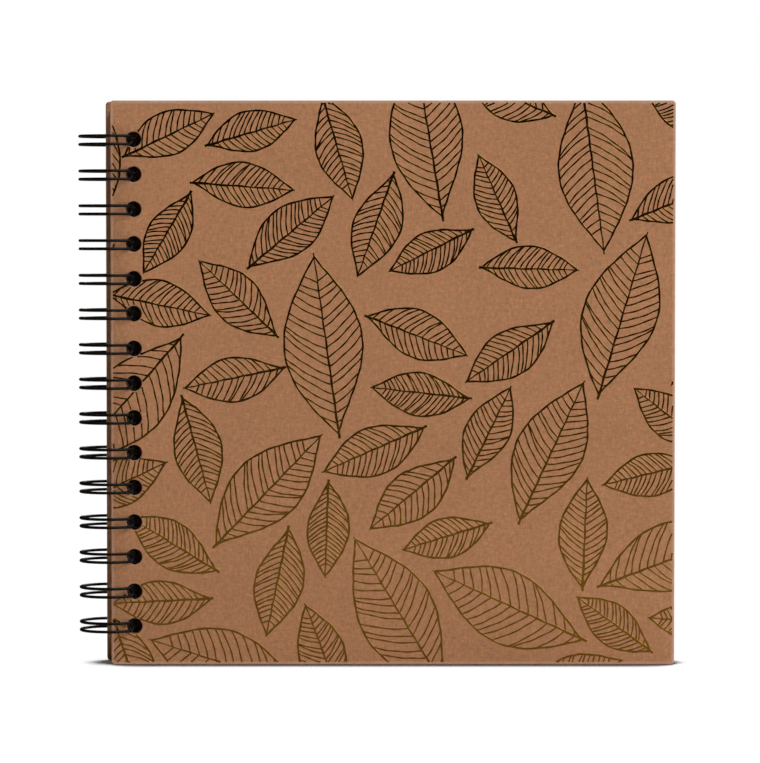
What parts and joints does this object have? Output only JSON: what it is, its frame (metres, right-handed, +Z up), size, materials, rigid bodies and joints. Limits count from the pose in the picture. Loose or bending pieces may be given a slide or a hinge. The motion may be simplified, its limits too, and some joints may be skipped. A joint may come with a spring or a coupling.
{
  "type": "wire-bound scrapbook album",
  "caption": "Square wire-bound scrapbook album with stiff kraft covers printed with metallic leaf line art, a black twin-loop spine and blank card leaves.",
  "frame": {"origin": "bottom centre of the album's box, on the floor it stands on", "axes": "+Z up along the spine, -Y out of the front cover, -X towards the wire spine, +X towards the fore edge"},
  "size_m": [0.218, 0.0218, 0.206],
  "materials": {
    "kraft_cover_paper": "matte",
    "bronze_foil": "polished",
    "grey_board": "matte",
    "lining_paper": "matte",
    "leaf_card": "matte",
    "black_wire": "gloss"
  },
  "bodies": {
    "back_cover": {"back_board": "grey_board", "back_wrap": "kraft_cover_paper", "back_lining": "lining_paper"},
    "leaf_20": {"leaf_20": "leaf_card"},
    "leaf_19": {"leaf_19": "leaf_card"},
    "leaf_18": {"leaf_18": "leaf_card"},
    "leaf_17": {"leaf_17": "leaf_card"},
    "leaf_16": {"leaf_16": "leaf_card"},
    "leaf_15": {"leaf_15": "leaf_card"},
    "leaf_14": {"leaf_14": "leaf_card"},
    "leaf_13": {"leaf_13": "leaf_card"},
    "leaf_12": {"leaf_12": "leaf_card"},
    "leaf_11": {"leaf_11": "leaf_card"},
    "leaf_10": {"leaf_10": "leaf_card"},
    "leaf_09": {"leaf_09": "leaf_card"},
    "leaf_08": {"leaf_08": "leaf_card"},
    "leaf_07": {"leaf_07": "leaf_card"},
    "leaf_06": {"leaf_06": "leaf_card"},
    "leaf_05": {"leaf_05": "leaf_card"},
    "leaf_04": {"leaf_04": "leaf_card"},
    "leaf_03": {"leaf_03": "leaf_card"},
    "leaf_02": {"leaf_02": "leaf_card"},
    "leaf_01": {"leaf_01": "leaf_card"},
    "wire": {"binding_wire": "black_wire"},
    "front_cover": {"front_board": "grey_board", "front_wrap": "kraft_cover_paper", "front_lining": "lining_paper"}
  },
  "joints": [
    {"name": "turn_leaf_20", "type": "hinge", "parent": "back_cover", "child": "leaf_20", "pos_m": [-0.0981, 0, 0.103], "axis": [0, 0, -1], "range_deg": [0, 180]},
    {"name": "turn_leaf_19", "type": "hinge", "parent": "leaf_20", "child": "leaf_19", "pos_m": [-0.0981, 0, 0.103], "axis": [0, 0, -1], "range_deg": [0, 180]},
    {"name": "turn_leaf_18", "type": "hinge", "parent": "leaf_19", "child": "leaf_18", "pos_m": [-0.0981, 0, 0.103], "axis": [0, 0, -1], "range_deg": [0, 180]},
    {"name": "turn_leaf_17", "type": "hinge", "parent": "leaf_18", "child": "leaf_17", "pos_m": [-0.0981, 0, 0.103], "axis": [0, 0, -1], "range_deg": [0, 180]},
    {"name": "turn_leaf_16", "type": "hinge", "parent": "leaf_17", "child": "leaf_16", "pos_m": [-0.0981, 0, 0.103], "axis": [0, 0, -1], "range_deg": [0, 180]},
    {"name": "turn_leaf_15", "type": "hinge", "parent": "leaf_16", "child": "leaf_15", "pos_m": [-0.0981, 0, 0.103], "axis": [0, 0, -1], "range_deg": [0, 180]},
    {"name": "turn_leaf_14", "type": "hinge", "parent": "leaf_15", "child": "leaf_14", "pos_m": [-0.0981, 0, 0.103], "axis": [0, 0, -1], "range_deg": [0, 180]},
    {"name": "turn_leaf_13", "type": "hinge", "parent": "leaf_14", "child": "leaf_13", "pos_m": [-0.0981, 0, 0.103], "axis": [0, 0, -1], "range_deg": [0, 180]},
    {"name": "turn_leaf_12", "type": "hinge", "parent": "leaf_13", "child": "leaf_12", "pos_m": [-0.0981, 0, 0.103], "axis": [0, 0, -1], "range_deg": [0, 180]},
    {"name": "turn_leaf_11", "type": "hinge", "parent": "leaf_12", "child": "leaf_11", "pos_m": [-0.0981, 0, 0.103], "axis": [0, 0, -1], "range_deg": [0, 180]},
    {"name": "turn_leaf_10", "type": "hinge", "parent": "leaf_11", "child": "leaf_10", "pos_m": [-0.0981, 0, 0.103], "axis": [0, 0, -1], "range_deg": [0, 180]},
    {"name": "turn_leaf_09", "type": "hinge", "parent": "leaf_10", "child": "leaf_09", "pos_m": [-0.0981, 0, 0.103], "axis": [0, 0, -1], "range_deg": [0, 180]},
    {"name": "turn_leaf_08", "type": "hinge", "parent": "leaf_09", "child": "leaf_08", "pos_m": [-0.0981, 0, 0.103], "axis": [0, 0, -1], "range_deg": [0, 180]},
    {"name": "turn_leaf_07", "type": "hinge", "parent": "leaf_08", "child": "leaf_07", "pos_m": [-0.0981, 0, 0.103], "axis": [0, 0, -1], "range_deg": [0, 180]},
    {"name": "turn_leaf_06", "type": "hinge", "parent": "leaf_07", "child": "leaf_06", "pos_m": [-0.0981, 0, 0.103], "axis": [0, 0, -1], "range_deg": [0, 180]},
    {"name": "turn_leaf_05", "type": "hinge", "parent": "leaf_06", "child": "leaf_05", "pos_m": [-0.0981, 0, 0.103], "axis": [0, 0, -1], "range_deg": [0, 180]},
    {"name": "turn_leaf_04", "type": "hinge", "parent": "leaf_05", "child": "leaf_04", "pos_m": [-0.0981, 0, 0.103], "axis": [0, 0, -1], "range_deg": [0, 180]},
    {"name": "turn_leaf_03", "type": "hinge", "parent": "leaf_04", "child": "leaf_03", "pos_m": [-0.0981, 0, 0.103], "axis": [0, 0, -1], "range_deg": [0, 180]},
    {"name": "turn_leaf_02", "type": "hinge", "parent": "leaf_03", "child": "leaf_02", "pos_m": [-0.0981, 0, 0.103], "axis": [0, 0, -1], "range_deg": [0, 180]},
    {"name": "turn_leaf_01", "type": "hinge", "parent": "leaf_02", "child": "leaf_01", "pos_m": [-0.0981, 0, 0.103], "axis": [0, 0, -1], "range_deg": [0, 180]},
    {"name": "wire_roll", "type": "hinge", "parent": "leaf_01", "child": "wire", "pos_m": [-0.0981, 0, 0.103], "axis": [0, 0, -1], "range_deg": [0, 180]},
    {"name": "open_front_cover", "type": "hinge", "parent": "wire", "child": "front_cover", "pos_m": [-0.0981, 0, 0.103], "axis": [0, 0, -1], "range_deg": [0, 180]}
  ]
}
